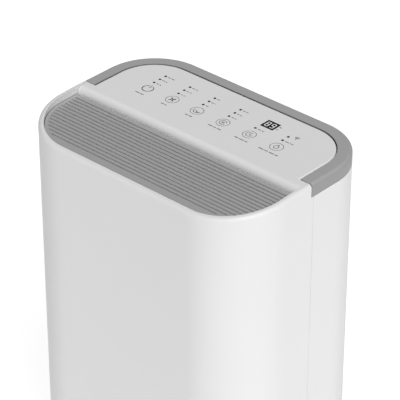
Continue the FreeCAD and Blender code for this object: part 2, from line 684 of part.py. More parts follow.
def water_tank():
    wall = TANK_WALL
    tank = tank_plan(0, TANK_Z, TANK_TOP)
    tank = tank.cut(tank_plan(wall, TANK_Z + wall, TANK_TOP + OVER))
    half, high, deep = GRIP
    top = TANK_TOP - GRIP_DROP
    out = half + wall
    tank = join([tank, box(-out, out, REAR - deep - wall, REAR - wall / 2, top - high - wall, top + wall)])
    tank = tank.cut(box(-half, half, REAR - deep, REAR + OVER, top - high, top))
    low, depth = TANK_TOP - TOWER_HEIGHT, TANK_Y + TOWER_DEPTH
    half = TOWER_HALF - TOWER_WALL
    tower = box(-TOWER_HALF, TOWER_HALF, TANK_Y + wall / 2, depth, low, TANK_TOP)
    slot = box(-half, half, TANK_Y + TOWER_BACK, depth + OVER, low - OVER, TANK_TOP + OVER)
    tank = join([tank, tower.cut(slot)])
    reach = TOWER_HALF + OVER
    return tank.cut(rod(FLOAT_PIN, V(-reach, FLOAT_Y, FLOAT_PIVOT_Z), X, 2 * reach))


def tank_lid():
    lid = tank_plan(0, TANK_TOP, LID_TOP)
    return lid.cut(rod(DRIP_RADIUS, V(SPOUT_X, SPOUT_Y, TANK_TOP - OVER), Z, LID_THICK + 2 * OVER))


def float_pin():
    return rod(FLOAT_PIN, V(-TOWER_HALF, FLOAT_Y, FLOAT_PIVOT_Z), X, 2 * TOWER_HALF)


def tank_float():
    y, z = FLOAT_Y, FLOAT_PIVOT_Z
    half, thick = FLOAT_ARM_SIZE
    barrel = rod(FLOAT_BARREL, V(-FLOAT_BARREL_HALF, y, z), X, 2 * FLOAT_BARREL_HALF)
    arm = box(-half, half, y, y + FLOAT_ARM, z - thick, z + thick)
    ball = box(-FLOAT_HALF, FLOAT_HALF, y + FLOAT_BACK, y + FLOAT_ARM, z + FLOAT_Z[0], z + FLOAT_Z[1])
    reach = TOWER_HALF + OVER
    return join([barrel, arm, ball]).cut(rod(FLOAT_PIN + PIN_FIT, V(-reach, y, z), X, 2 * reach))


def drain_plan(inset, z0, z1):
    edge = prism(WALL + SEAM + inset, z0, z1)
    return edge.common(box(-WIDTH, WIDTH, DRAIN_FRONT + inset, DRAIN_REAR - inset, z0, z1))


def drain_pan():
    pan = drain_plan(0, DRAIN_Z, DRAIN_TOP).cut(drain_plan(DRAIN_WALL, DRAIN_FLOOR, DRAIN_TOP + OVER))
    low = DRAIN_Z - SPOUT_LENGTH
    added = [rod(SPOUT_RADIUS, V(SPOUT_X, SPOUT_Y, low), Z, SPOUT_LENGTH + OVER)]
    for place in (-1, 0, 1):
        x0, x1 = place * DRAIN_RIB_X - DRAIN_RIB_HALF, place * DRAIN_RIB_X + DRAIN_RIB_HALF
        added.append(box(x0, x1, COND_Y, EVAP_Y + COIL_THICK, DRAIN_FLOOR - OVER, COIL_Z))
    pan = join([pan] + added)
    bore = rod(SPOUT_RADIUS - SPOUT_WALL, V(SPOUT_X, SPOUT_Y, low - OVER), Z, SPOUT_LENGTH + 2 * DRAIN_DEPTH)
    port = rod(PORT_BORE, V(PORT_X, DRAIN_REAR - 2 * DRAIN_WALL, PORT_Z), Y, 4 * DRAIN_WALL)
    return pan.cut([bore, port])


def drain_port():
    length = REAR - PLUG_DEPTH - DRAIN_REAR
    return tube(PORT_RADIUS, PORT_BORE, V(PORT_X, DRAIN_REAR, PORT_Z), Y, length)


def drain_plug():
    length = REAR - PLUG_DEPTH - DRAIN_REAR
    stem = rod(PORT_BORE - PIN_FIT, V(PORT_X, DRAIN_REAR, PORT_Z), Y, length + OVER)
    return join([stem, rod(PLUG_HEAD, V(PORT_X, REAR - PLUG_DEPTH + SEAM, PORT_Z), Y, PLUG_DEPTH - 2 * SEAM)])


def cord_bush():
    return tube(BUSH_RADIUS, BUSH_BORE, V(-PORT_X, REAR - BUSH_LENGTH, PORT_Z), Y, BUSH_LENGTH)


def inlet_grille():
    low, high = GRILLE_Z, GRILLE_Z + GRILLE_HEIGHT
    edge = GRILLE_FRAME
    inside = GRILLE_HALF - edge
    frame = box(-GRILLE_HALF, GRILLE_HALF, GRILLE_Y, REAR, low, high)
    frame = frame.cut(box(-inside, inside, GRILLE_Y - OVER, REAR + OVER, low + edge, high - edge))
    count = int((GRILLE_HEIGHT - 2 * edge) / SLAT_PITCH)
    gap = (GRILLE_HEIGHT - 2 * edge) / (count + 1)
    half = GRILLE_HALF - edge / 2
    bars = []
    for i in range(count):
        z = low + edge + gap * (i + 1)
        bars.append(box(-half, half, GRILLE_Y + SLAT_SINK, REAR - SLAT_SINK, z - SLAT / 2, z + SLAT / 2))
    low, high = low + edge / 2, high - edge / 2
    for x in POST_X:
        bars.append(box(x - SLAT / 2, x + SLAT / 2, GRILLE_Y, REAR - POST_SINK, low, high))
    return join([frame] + bars)


def filter_plan(edge, y0, y1):
    """A sheet on the filter's outline, moved in by edge."""
    inset = FILTER_INSET + edge
    half = GRILLE_HALF - inset
    return box(-half, half, y0, y1, GRILLE_Z + inset, GRILLE_Z + GRILLE_HEIGHT - inset)


def filter_frame():
    return filter_plan(0, FILTER_Y, GRILLE_Y).cut(filter_plan(FILTER_EDGE, FILTER_Y - OVER, GRILLE_Y + OVER))


def filter_mesh():
    y = FILTER_Y + FILTER_THICK / 2
    return filter_plan(FILTER_EDGE, y, y + FILTER_SHEET)


def coil_block(y):
    return box(-COIL_HALF, COIL_HALF, y, y + COIL_THICK, COIL_Z, COIL_Z + COIL_HEIGHT)


def coil_bends(y):
    """The U shaped tube ends that stand out of both ends of a finned block."""
    bends = []
    for side in (-1, 1):
        for i in range(COIL_BENDS):
            centre = V(side * COIL_HALF, y + COIL_THICK / 2, COIL_Z + TUBE_PITCH * (i + 0.5))
            ring = Part.Wire(Part.Circle(centre + Z * COIL_BEND, X, COIL_TUBE).toShape())
            bends.append(Part.Face(ring).revolve(centre, Y * side, 180))
    return Part.makeCompound(bends)


def scroll_plan(inset, y0, y1):
    start = V(0, y0, FAN_Z)
    drum = rod(SCROLL_RADIUS - inset, start, Y, y1 - y0)
    throat = box(SCROLL_THROAT + inset, SCROLL_RADIUS - inset, y0, y1, FAN_Z, THROAT_Z)
    return join([drum, throat])


def fan_scroll():
    """The wall and front of the scroll, open at the back until its inlet plate closes it."""
    y0, y1 = SCROLL_Y + WALL, SCROLL_Y + SCROLL_DEPTH - WALL
    inner = scroll_plan(WALL, y0, y1 + OVER)
    mouth = box(SCROLL_THROAT + WALL, SCROLL_RADIUS - WALL, y0, y1 + OVER, THROAT_Z - OVER, THROAT_Z + OVER)
    hole = rod(FAN_HUB + HUB_HOLE_GAP, V(0, SCROLL_Y - OVER, FAN_Z), Y, WALL + 2 * OVER)
    return scroll_plan(0, SCROLL_Y, y1).cut([inner, mouth, hole])


def scroll_inlet():
    back = SCROLL_Y + SCROLL_DEPTH
    eye = rod(FAN_EYE, V(0, back - WALL - OVER, FAN_Z), Y, WALL + 2 * OVER)
    return scroll_plan(0, back - WALL, back).cut(eye)


def bulkhead():
    top = THROAT_Z - BULKHEAD_DROP
    plate = box(-BULKHEAD_HALF, BULKHEAD_HALF, BULKHEAD_Y, SCROLL_Y, DRAIN_FLOOR, top)
    return plate.cut(rod(FAN_HUB + HUB_HOLE_GAP, V(0, BULKHEAD_Y - OVER, FAN_Z), Y, BULKHEAD + 2 * OVER))


def fan_motor():
    start = V(0, BULKHEAD_Y - MOTOR_LENGTH, FAN_Z)
    can = rod(MOTOR_RADIUS, start, Y, MOTOR_LENGTH)
    can = can.makeFillet(MOTOR_ROUND, [e for e in can.Edges if abs(e.CenterOfMass.y - start.y) < 1e-3])
    return can.cut(rod(FAN_SHAFT + PIN_FIT, start - Y * OVER, Y, MOTOR_LENGTH + 2 * OVER))


def fan_shaft():
    start = BULKHEAD_Y - MOTOR_LENGTH + SHAFT_START
    return rod(FAN_SHAFT, V(0, start, FAN_Z), Y, MOTOR_LENGTH + SHAFT_REACH + SHAFT_START)


def wheel_span():
    """Where the fan wheel begins and ends along its axis."""
    return SCROLL_Y + WALL + WHEEL_FRONT_GAP, SCROLL_Y + SCROLL_DEPTH - WALL - WHEEL_BACK_GAP


def fan_wheel():
    front = wheel_span()[0]
    plate = rod(FAN_RADIUS, V(0, front, FAN_Z), Y, WHEEL_PLATE)
    hub = rod(FAN_HUB, V(0, front, FAN_Z), Y, HUB_LENGTH)
    return join([plate, hub]).cut(rod(FAN_SHAFT, V(0, front - OVER, FAN_Z), Y, HUB_LENGTH + 2 * OVER))


def fan_ring():
    start = wheel_span()[1] - WHEEL_PLATE
    return tube(FAN_RADIUS, FAN_EYE + EYE_LAP, V(0, start, FAN_Z), Y, WHEEL_PLATE)


def fan_blades():
    front, back = wheel_span()
    inner, tip, half = FAN_EYE + EYE_LAP, FAN_RADIUS - BLADE_TIP, BLADE / 2
    y0, y1 = front + WHEEL_PLATE, back - WHEEL_PLATE
    blades = []
    for i in range(BLADES):
        blade = box(inner, tip, y0, y1, FAN_Z - half, FAN_Z + half)
        blade.rotate(V((inner + FAN_RADIUS) / 2, 0, FAN_Z), Y, BLADE_LEAN)
        blade.rotate(V(0, 0, FAN_Z), Y, 360 / BLADES * i)
        blades.append(blade)
    return Part.makeCompound(blades)


def rectangle(x0, x1, y0, y1, z):
    points = [V(x0, y0, z), V(x1, y0, z), V(x1, y1, z), V(x0, y1, z), V(x0, y0, z)]
    return Part.makePolygon(points)


def air_duct():
    """The slanting duct from the fan's throat to the opening below the louvre."""
    top = HEIGHT - DUCT_TOP_DROP
    front, rear = FRONT + WALL + DUCT_FRONT, DECK_FRONT - DUCT_REAR
    back = SCROLL_Y + SCROLL_DEPTH
    skins = []
    for wall in (0, DUCT_WALL):
        half = DUCT_TOP_HALF - wall
        y0, y1 = front + wall, rear - wall
        low = rectangle(SCROLL_THROAT + wall, SCROLL_RADIUS - wall, SCROLL_Y + wall, back - wall, THROAT_Z)
        high = rectangle(-half, half, y0, y1, top - DUCT_COLLAR)
        slant = Part.makeLoft([low, high], True, True)
        skins.append(join([slant, box(-half, half, y0, y1, top - DUCT_COLLAR, top)]))
    return skins[0].cut(skins[1])


def pipe(points):
    """A copper pipe along straight runs joined by tangent arcs."""
    edges, last = [], points[0]
    for a, b, c in zip(points, points[1:], points[2:]):
        before, after = (a - b).normalize(), (c - b).normalize()
        start, end = b + before * PIPE_BEND, b + after * PIPE_BEND
        centre = b + (before + after) * PIPE_BEND
        middle = centre + (b - centre).normalize() * PIPE_BEND
        edges.append(Part.LineSegment(last, start).toShape())
        edges.append(Part.Arc(start, middle, end).toShape())
        last = end
    edges.append(Part.LineSegment(last, points[-1]).toShape())
    path = Part.Wire(edges)
    ring = Part.Wire(Part.Circle(points[0], points[1] - points[0], PIPE).toShape())
    return path.makePipeShell([ring], True, False)


def discharge_pipe():
    x = COMP_X + DISCHARGE_SIDE
    y = COND_Y + COIL_THICK / 2
    z = COIL_Z + TUBE_PITCH
    return pipe([V(x, COMP_Y, COMP_TOP), V(x, COMP_Y, z), V(PIPE_SIDE, COMP_Y, z), V(PIPE_SIDE, y, z),
                 V(COIL_HALF, y, z)])


def suction_pipe():
    y = EVAP_Y + COIL_THICK / 2
    z = COIL_Z + 2 * TUBE_PITCH
    low = COMP_Z + TANKLET_LIFT + TANKLET_HEIGHT
    x = TANKLET_X
    return pipe([V(x, TANKLET_Y, low), V(x, TANKLET_Y, z), V(x, y, z), V(COIL_HALF, y, z)])


def humidity_sensor():
    x0, x1 = SCROLL_RADIUS + SENSOR_GAP, BULKHEAD_HALF - SENSOR_EDGE
    return box(x0, x1, SCROLL_Y, SCROLL_Y + SENSOR_DEPTH, FAN_Z - SENSOR_HALF, FAN_Z + SENSOR_HALF)


def tank_switch():
    y = TANK_Y + SWITCH_BACK
    return box(*SWITCH_X, y, y + SWITCH_DEPTH, DRAIN_Z - SWITCH_HEIGHT, DRAIN_Z)


def save(name, shape):
    if shape.ShapeType != "Compound" or len(shape.Solids) == 1:
        shape = max(shape.Solids, key=lambda solid: solid.Volume)
    shape.exportStep("parts/" + name + ".step")
    print(name, len(shape.Solids), round(shape.Volume), shape.isValid())


def main():
    os.makedirs("parts", exist_ok=True)
    block = body_block()
    louvre, can, tanklet, duct = outlet_louvre(), compressor(), accumulator(), air_duct()
    pieces = {
        "front_shell": front_shell(block),
        "rear_shell": rear_shell(block),
        "control_deck": control_deck(),
        "indicator_lenses": indicator_lenses(),
        "display_window": display_window(),
        "display_module": display_module(),
        "control_board": control_board(),
        "carry_handle": carry_handle(block),
        "handle_pins": handle_pins(),
        "outlet_louvre": louvre,
        "louvre_sector": louvre_sector(louvre),
        "louvre_pinion": louvre_pinion(),
        "louvre_motor": louvre_motor(),
        "base_pan": base_pan(),
        "rubber_feet": rubber_feet(),
        "foot_screws": foot_screws(),
        "shell_screws": shell_screws(),
        "compressor": can,
        "compressor_grommets": compressor_grommets(),
        "terminal_cover": terminal_cover(),
        "accumulator": tanklet,
        "accumulator_strap": accumulator_strap(can, tanklet),
        "bay_partition": bay_partition(),
        "electrics_box": electrics_box(),
        "electrics_cover": electrics_cover(),
        "power_board": power_board(),
        "run_capacitor": run_capacitor(),
        "water_tank": water_tank(),
        "tank_lid": tank_lid(),
        "float_pin": float_pin(),
        "tank_float": tank_float(),
        "tank_switch": tank_switch(),
        "drain_pan": drain_pan(),
        "drain_port": drain_port(),
        "drain_plug": drain_plug(),
        "cord_bush": cord_bush(),
        "inlet_grille": inlet_grille(),
        "filter_frame": filter_frame(),
        "filter_mesh": filter_mesh(),
        "evaporator": coil_block(EVAP_Y),
        "evaporator_bends": coil_bends(EVAP_Y),
        "condenser": coil_block(COND_Y),
        "condenser_bends": coil_bends(COND_Y),
        "discharge_pipe": discharge_pipe(),
        "suction_pipe": suction_pipe(),
        "fan_scroll": fan_scroll(),
        "scroll_inlet": scroll_inlet(),
        "fan_bulkhead": bulkhead(),
        "fan_motor": fan_motor(),
        "fan_shaft": fan_shaft(),
        "fan_wheel": fan_wheel(),
        "fan_blades": fan_blades(),
        "fan_ring": fan_ring(),
        "air_duct": duct,
        "humidity_sensor": humidity_sensor(),
    }
    for name, shape in pieces.items():
        save(name, shape)


main()
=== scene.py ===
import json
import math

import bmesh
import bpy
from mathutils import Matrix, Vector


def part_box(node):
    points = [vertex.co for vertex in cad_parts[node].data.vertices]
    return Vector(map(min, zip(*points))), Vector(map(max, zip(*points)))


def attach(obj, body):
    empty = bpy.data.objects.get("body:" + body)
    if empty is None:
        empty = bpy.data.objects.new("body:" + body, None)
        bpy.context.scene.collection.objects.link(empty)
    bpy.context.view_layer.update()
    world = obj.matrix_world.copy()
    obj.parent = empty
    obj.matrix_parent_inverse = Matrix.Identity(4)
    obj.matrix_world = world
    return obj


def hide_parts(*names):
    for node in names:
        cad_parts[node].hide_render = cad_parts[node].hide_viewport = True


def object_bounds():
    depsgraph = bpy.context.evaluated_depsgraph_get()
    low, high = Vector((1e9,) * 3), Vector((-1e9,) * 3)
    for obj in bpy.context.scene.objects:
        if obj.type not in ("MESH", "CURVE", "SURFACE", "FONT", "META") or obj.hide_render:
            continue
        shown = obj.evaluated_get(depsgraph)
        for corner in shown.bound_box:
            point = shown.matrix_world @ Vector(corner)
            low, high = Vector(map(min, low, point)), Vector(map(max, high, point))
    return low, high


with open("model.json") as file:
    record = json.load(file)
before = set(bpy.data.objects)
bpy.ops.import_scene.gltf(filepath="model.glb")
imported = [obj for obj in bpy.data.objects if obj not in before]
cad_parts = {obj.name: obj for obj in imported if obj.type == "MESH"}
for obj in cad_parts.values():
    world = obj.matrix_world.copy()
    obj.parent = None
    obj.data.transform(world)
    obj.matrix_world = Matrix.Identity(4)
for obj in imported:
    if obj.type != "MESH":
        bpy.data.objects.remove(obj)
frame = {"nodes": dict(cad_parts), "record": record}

# %% [markdown]
# # A compact dehumidifier
# The frame already holds every hard piece at its real place and size. This lesson adds what a
# drawing doesn't have: the finishes, the printed signs on the control deck, the lit figures in
# the display, the net of the dust filter and the fin packs of the two coils.
# It works in metres, in the frame of the drawing, and takes its places from the drawn pieces.

drawn_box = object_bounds()
nodes = frame["nodes"]
MM = 0.001
low, high = drawn_box
print("drawn box", [round(v, 4) for v in (*low, *high)])

# %% [markdown]
# ## Camera
# The object is seen from above its front right corner with a long lens, so its uprights draw
# together only a little. An aim point, two angles and a distance say all of it.

# %% Camera
CAMERA_TURN = math.radians(42.34)
CAMERA_RISE = math.radians(32.12)
CAMERA_DISTANCE = 2.4731
CAMERA_LENS = 196.5
AIM = Vector((0.0343, -0.0253, high.z - 0.0666))


def away(turn, rise):
    """Unit vector from the object towards a viewer or a lamp at these angles."""
    return Vector((math.sin(turn) * math.cos(rise), -math.cos(turn) * math.cos(rise), math.sin(rise)))


scene = bpy.context.scene
camera = bpy.data.objects.new("camera", bpy.data.cameras.new("camera"))
scene.collection.objects.link(camera)
camera.data.lens = CAMERA_LENS
camera.location = AIM + away(CAMERA_TURN, CAMERA_RISE) * CAMERA_DISTANCE
camera.rotation_euler = away(CAMERA_TURN, CAMERA_RISE).to_track_quat("Z", "Y").to_euler()
scene.camera = camera
scene.view_settings.view_transform = "Standard"
print("camera at", [round(v, 3) for v in camera.location])

# %% [markdown]
# ## Light
# A bright white studio: one very wide soft lamp high on the right, ahead of the object, and an
# even grey sky that fills the shadows. A sun with a wide disc does for the soft lamp, because
# its brightness doesn't depend on where it stands.

# %% Light
KEY_TURN = math.radians(59)
KEY_RISE = math.radians(53)
KEY_STRENGTH = 2.93
KEY_SPREAD = math.radians(40)
SKY_LEVEL = 0.1


def sun(name, turn, rise, strength, spread):
    lamp = bpy.data.objects.new(name, bpy.data.lights.new(name, "SUN"))
    scene.collection.objects.link(lamp)
    lamp.data.energy = strength
    lamp.data.angle = spread
    lamp.rotation_euler = away(turn, rise).to_track_quat("Z", "Y").to_euler()
    return lamp


sun("key", KEY_TURN, KEY_RISE, KEY_STRENGTH, KEY_SPREAD)
world = bpy.data.worlds.new("studio")
scene.world = world
world.use_nodes = True
world.node_tree.nodes["Background"].inputs["Color"].default_value = (1, 1, 1, 1)
world.node_tree.nodes["Background"].inputs["Strength"].default_value = SKY_LEVEL
print("key lamp", KEY_STRENGTH, "sky", SKY_LEVEL)

# %% [markdown]
# ## Two helpers for finishes
# Colours are written as the hex values a colour picker shows, and one function turns them into
# the linear light that the shader works in. One more function adds a node, sets it and links it.

# %% Colour and node helpers
def linear(code):
    """Hex sRGB colour to linear RGBA."""
    parts = [int(code[i:i + 2], 16) / 255 for i in (1, 3, 5)]
    return (*[c / 12.92 if c <= 0.04045 else ((c + 0.055) / 1.055) ** 2.4 for c in parts], 1.0)


MIX_FACTOR, MIX_A, MIX_B = 0, 6, 7   # the colour sockets of a mix node, by their place
MIX_RESULT = 2


def add(material, kind, settings=None, **links):
    """Adds a node. settings are its properties, or its sockets' values where the name is a socket's."""
    node = material.node_tree.nodes.new(kind)
    for name, value in (settings or {}).items():
        if name in node.inputs:
            node.inputs[name].default_value = value
        else:
            setattr(node, name, value)
    for name, source in links.items():
        material.node_tree.links.new(source, node.inputs[name.replace("_", " ")])
    return node


def new_material(name, code, roughness, **shader):
    """A material with its shader's constants set on the shader itself."""
    material = bpy.data.materials.new(name)
    material.use_nodes = True
    bsdf = material.node_tree.nodes["Principled BSDF"]
    bsdf.inputs["Base Color"].default_value = linear(code)
    bsdf.inputs["Roughness"].default_value = roughness
    for socket, value in shader.items():
        bsdf.inputs[socket.replace("_", " ")].default_value = value
    return material, bsdf


def per_size(millimetres):
    """Noise scale that gives features of this size on Object coordinates."""
    return 1 / (millimetres * MM)


# %% [markdown]
# ## Painted shade at seams and on sides
# Light doesn't reach into a seam, so plastic looks darker beside one, and that shade is painted into
# the colour. A drawn line could do it, but the render can measure how open each spot is, which follows
# every seam by itself. A second helper paints shade on upright faces: a colour of their own, by the way
# that they face.

# %% Seam and side helpers
SEAM_MM = 2.2        # how far from a seam the plastic still looks dark
SEAM_LEFT = 0.35     # how much of the light is left in the depth of a seam
SEAM_SAMPLES = 8
SEAM_DEEP, SEAM_OPEN = 0.3, 0.8      # shares of open sky between which the dark fades out
UPRIGHT, LEVEL = 0.35, 0.95          # rise of the normal between which side turns into top


def seam_shade(material, color):
    """Painted shade: darkens a colour close to seams and in gaps, where light doesn't reach."""
    near = add(material, "ShaderNodeAmbientOcclusion", {"samples": SEAM_SAMPLES, "Distance": SEAM_MM * MM})
    span = {"From Min": SEAM_DEEP, "From Max": SEAM_OPEN, "To Min": SEAM_LEFT}
    left = add(material, "ShaderNodeMapRange", span, Value=near.outputs["AO"])
    dim = add(material, "ShaderNodeMix", {"data_type": "RGBA", "blend_type": "MULTIPLY"})
    dim.inputs[MIX_FACTOR].default_value = 1.0
    material.node_tree.links.new(color, dim.inputs[MIX_A])
    material.node_tree.links.new(left.outputs["Result"], dim.inputs[MIX_B])
    return dim.outputs[MIX_RESULT]


def side_shade(material, color, side_shade_code):
    """Painted shade: another colour on upright faces, told from the top by the normal in the piece's own
    frame.
    """
    facing = add(material, "ShaderNodeSeparateXYZ",
                 Vector=add(material, "ShaderNodeTexCoord").outputs["Normal"])
    span = {"From Min": UPRIGHT, "From Max": LEVEL, "To Min": 1.0, "To Max": 0.0}
    upright = add(material, "ShaderNodeMapRange", span, Value=facing.outputs["Z"])
    mix = add(material, "ShaderNodeMix", {"data_type": "RGBA"})
    mix.inputs[MIX_B].default_value = linear(side_shade_code)
    material.node_tree.links.new(color, mix.inputs[MIX_A])
    material.node_tree.links.new(upright.outputs["Result"], mix.inputs[MIX_FACTOR])
    return mix.outputs[MIX_RESULT]


# %% [markdown]
# ## Moulded plastics
# Nearly everything seen is injection moulded ABS. The tool's surface is spark eroded, so the
# skin has a fine even grain that spreads the highlight, and the colour drifts very slightly
# where the melt flowed. Three patterns do it: a fine grain for bump, a broad one for the
# colour, and a middling one for roughness, where hands have polished the skin.

# %% Moulded plastic
GRAIN_MM = 0.6       # real grain is about 0.1 mm, drawn coarser so that it shows at all
BUMP_MM = 0.05
DRIFT_MM = 90.0
POLISH_MM = 25.0


def moulded(name, code, shade_code, roughness, grain=0.12, polish=0.05, seams=False, side_shade_code=None,
            **shader):
    """Moulded plastic: the colour drifts between two codes, the roughness by +- polish."""
    material, bsdf = new_material(name, code, roughness, **shader)
    links = material.node_tree.links
    place = add(material, "ShaderNodeTexCoord").outputs["Object"]
    drift = add(material, "ShaderNodeTexNoise", {"Scale": per_size(DRIFT_MM), "Detail": 2.0}, Vector=place)
    mix = add(material, "ShaderNodeMix", {"data_type": "RGBA"})
    mix.inputs[MIX_A].default_value = linear(code)
    mix.inputs[MIX_B].default_value = linear(shade_code)
    links.new(drift.outputs["Fac"], mix.inputs[MIX_FACTOR])
    color = mix.outputs[MIX_RESULT]
    # Painted shade on upright sides, darker than the top
    if side_shade_code:
        color = side_shade(material, color, side_shade_code)
    # Painted shade beside seams and in gaps
    if seams:
        color = seam_shade(material, color)
    links.new(color, bsdf.inputs["Base Color"])
    worn = add(material, "ShaderNodeTexNoise", {"Scale": per_size(POLISH_MM), "Detail": 4.0}, Vector=place)
    span = add(material, "ShaderNodeMapRange", {"To Min": roughness - polish, "To Max": roughness + polish},
               Value=worn.outputs["Fac"])
    links.new(span.outputs["Result"], bsdf.inputs["Roughness"])
    skin = add(material, "ShaderNodeTexNoise", {"Scale": per_size(GRAIN_MM), "Detail": 3.0}, Vector=place)
    bump = add(material, "ShaderNodeBump", {"Strength": grain, "Distance": BUMP_MM * MM},
               Height=skin.outputs["Fac"])
    links.new(bump.outputs["Normal"], bsdf.inputs["Normal"])
    return material


# %% [markdown]
# The plastics themselves: two colours a few steps apart for each, and a roughness to suit.

# %% The plastics
# White ABS, satin: a broad soft highlight on a clean neutral white
white_abs = moulded("white ABS, satin moulded", "#E8E8E8", "#E5E5E5", 0.45)
# The two shells, a shade duller than the deck. The tone is given, as its cause isn't known
# The shells get painted shade beside seams and in gaps
shell_abs = moulded("white ABS of the shells", "#E4E4E4", "#E1E1E1", 0.45, seams=True)
# Grey ABS, the same skin, a mid grey that looks half as bright as the white
grey_abs = moulded("grey ABS, satin moulded", "#A8A8A8", "#A4A4A4", 0.5)
# The handle, with a darker outer side. Its tone is given too
# Painted shade: the handle's upright outer side is darker than its top, and it is darker beside seams and
# in gaps
handle_abs = moulded("grey ABS of the handle", "#ABABAB", "#A7A7A7", 0.5, side_shade_code="#959595", seams=True)
# Natural polypropylene of inner pieces: duller, slightly warm and waxy
inner_pp = moulded("natural polypropylene", "#D6D5CF", "#CBCAC3", 0.5, grain=0.2, Subsurface_Weight=0.05)
# Black glass filled nylon of boxes and frames: dull and speckled
black_nylon = moulded("black glass filled nylon", "#26272A", "#1D1E20", 0.6, grain=0.4)
# Smoky polycarbonate tank: a grey blue tint, smooth and a little clear
tank_pc = moulded("smoky polycarbonate", "#8E9AA6", "#84909C", 0.18, grain=0.03,
                  Transmission_Weight=0.25, IOR=1.58)
# Acrylic light pipe over an unlit light: nearly black from outside, and polished
smoke_acrylic = moulded("smoked acrylic", "#141415", "#0F0F10", 0.3, grain=0.02, IOR=1.49)
# Expanded polystyrene of the air path: bright, dull and beaded
eps_foam = moulded("expanded polystyrene", "#F0F0EC", "#E2E2DD", 0.85, grain=0.5)
print("plastics made")

# %% [markdown]
# ## Metals, rubber and boards
# The plated sheet shows rolling lines and a slight spangle, the copper has gone a little brown
# in the hand, and the compressor is painted in thick black enamel that flows over its weld.

# %% Metals, rubber and boards
def streaked(name, code, shade_code, roughness, streak_mm, stretch, **shader):
    """Rolled or drawn metal: streaks of a real width, drawn out along one way."""
    material, bsdf = new_material(name, code, roughness, **shader)
    links = material.node_tree.links
    place = add(material, "ShaderNodeTexCoord").outputs["Object"]
    turned = add(material, "ShaderNodeMapping", {"Scale": stretch}, Vector=place)
    lines = add(material, "ShaderNodeTexNoise", {"Scale": per_size(streak_mm), "Detail": 4.0},
                Vector=turned.outputs["Vector"])
    mix = add(material, "ShaderNodeMix", {"data_type": "RGBA"})
    mix.inputs[MIX_A].default_value = linear(code)
    mix.inputs[MIX_B].default_value = linear(shade_code)
    links.new(lines.outputs["Fac"], mix.inputs[MIX_FACTOR])
    links.new(mix.outputs[MIX_RESULT], bsdf.inputs["Base Color"])
    span = add(material, "ShaderNodeMapRange", {"To Min": roughness * 0.75, "To Max": roughness * 1.25},
               Value=lines.outputs["Fac"])
    links.new(span.outputs["Result"], bsdf.inputs["Roughness"])
    bump = add(material, "ShaderNodeBump", {"Strength": 0.15, "Distance": BUMP_MM * MM},
               Height=lines.outputs["Fac"])
    links.new(bump.outputs["Normal"], bsdf.inputs["Normal"])
    return material


# Zinc plated steel: pale, slightly blue, with rolling lines
zinc_steel = streaked("zinc plated steel", "#B9BCC0", "#9FA3A8", 0.35, 1.2, (1, 1, 0.05), Metallic=1.0)
# Rolled aluminium fin stock: bright and fine grained
fin_stock = streaked("rolled aluminium fin stock", "#D3D5D8", "#BFC2C6", 0.3, 0.8, (1, 1, 0.1),
                     Metallic=1.0)
# Drawn copper tube: warm, with brown patches from soldering
copper = streaked("drawn copper tube", "#C98A62", "#9C5F3F", 0.3, 12.0, (1, 1, 1), Metallic=1.0)
# Black enamel: a thick shiny coat with orange peel
enamel = moulded("black enamel", "#141416", "#1A1A1C", 0.25, grain=0.3, Coat_Weight=0.5)
# Nitrile rubber: almost black, with a dusty bloom
rubber = moulded("nitrile rubber", "#1E1E1F", "#2B2B2C", 0.8, grain=0.6)
# Fibreglass board under green solder mask: woven cloth shows faintly through it
solder_mask = moulded("green solder mask", "#1F5A37", "#1A4C2F", 0.35, grain=0.3, Coat_Weight=0.3)
# Acrylic display window, black from behind, polished
black_acrylic = moulded("black backed acrylic", "#222021", "#1E1C1D", 0.25, grain=0.01, IOR=1.49)
# Screen printed ink: thin and dull, a mid grey
print_ink = moulded("grey screen print ink", "#6A6A6A", "#646464", 0.6, grain=0.05)
# The surrounds of the lights are printed in near black
dark_ink = moulded("black screen print ink", "#1B1B1C", "#161617", 0.6, grain=0.05)
# The label ink is finer, so it looks paler than the signs
label_ink = moulded("pale screen print ink", "#7C7C7C", "#747474", 0.6, grain=0.05)
# Nylon monofilament net of the dust filter
net_nylon = moulded("black nylon monofilament", "#2A2A2C", "#222224", 0.4, grain=0.05)


def lit(name, code, strength):
    """A glowing segment behind the window: light with a slight falloff over its width."""
    material, bsdf = new_material(name, code, 0.3)
    place = add(material, "ShaderNodeTexCoord").outputs["Object"]
    cells = add(material, "ShaderNodeTexNoise", {"Scale": per_size(1.5)}, Vector=place)
    span = add(material, "ShaderNodeMapRange", {"To Min": strength * 0.85, "To Max": strength * 1.15},
               Value=cells.outputs["Fac"])
    bsdf.inputs["Emission Color"].default_value = linear(code)
    material.node_tree.links.new(span.outputs["Result"], bsdf.inputs["Emission Strength"])
    return material


# LED segment: a white light through a diffuser, hardly warm
led_white = lit("white LED segment", "#EDE8E8", 0.35)
print("metals, rubber and inks made")

# %% [markdown]
# ## Giving each drawn piece its finish
# The record names a slot for each piece, such as white_shell. A table from slot to finish
# dresses all of them at once, and a few pieces that share a slot get their own.

# %% Dress the drawn pieces
FINISH = {
    "white_shell": white_abs, "grey_plastic": grey_abs, "black_lens": black_acrylic,
    "smoke_lens": smoke_acrylic, "circuit_board": solder_mask, "dark_plastic": black_nylon,
    "black_rubber": rubber, "plated_steel": zinc_steel, "black_enamel": enamel, "copper": copper,
    "fin_aluminium": fin_stock, "inner_plastic": inner_pp, "tank_plastic": tank_pc,
    "foam_white": eps_foam, "filter_net": net_nylon,
}
OWN_FINISH = {"front_shell": shell_abs, "rear_shell": shell_abs, "carry_handle": handle_abs}
slot_of = {part["node"]: part["material_slot"] for part in frame["record"]["subparts"]}
for name, piece in nodes.items():
    piece.data.materials.clear()
    piece.data.materials.append(OWN_FINISH.get(name) or FINISH[slot_of[name]])
print(len(nodes), "drawn pieces dressed")

# %% [markdown]
# ## A helper for new pieces
# Each new piece is one mesh that sits at the origin with its place in its vertices. The helper
# merges doubles, turns the faces outwards, gives the finish and hangs the piece on its body.

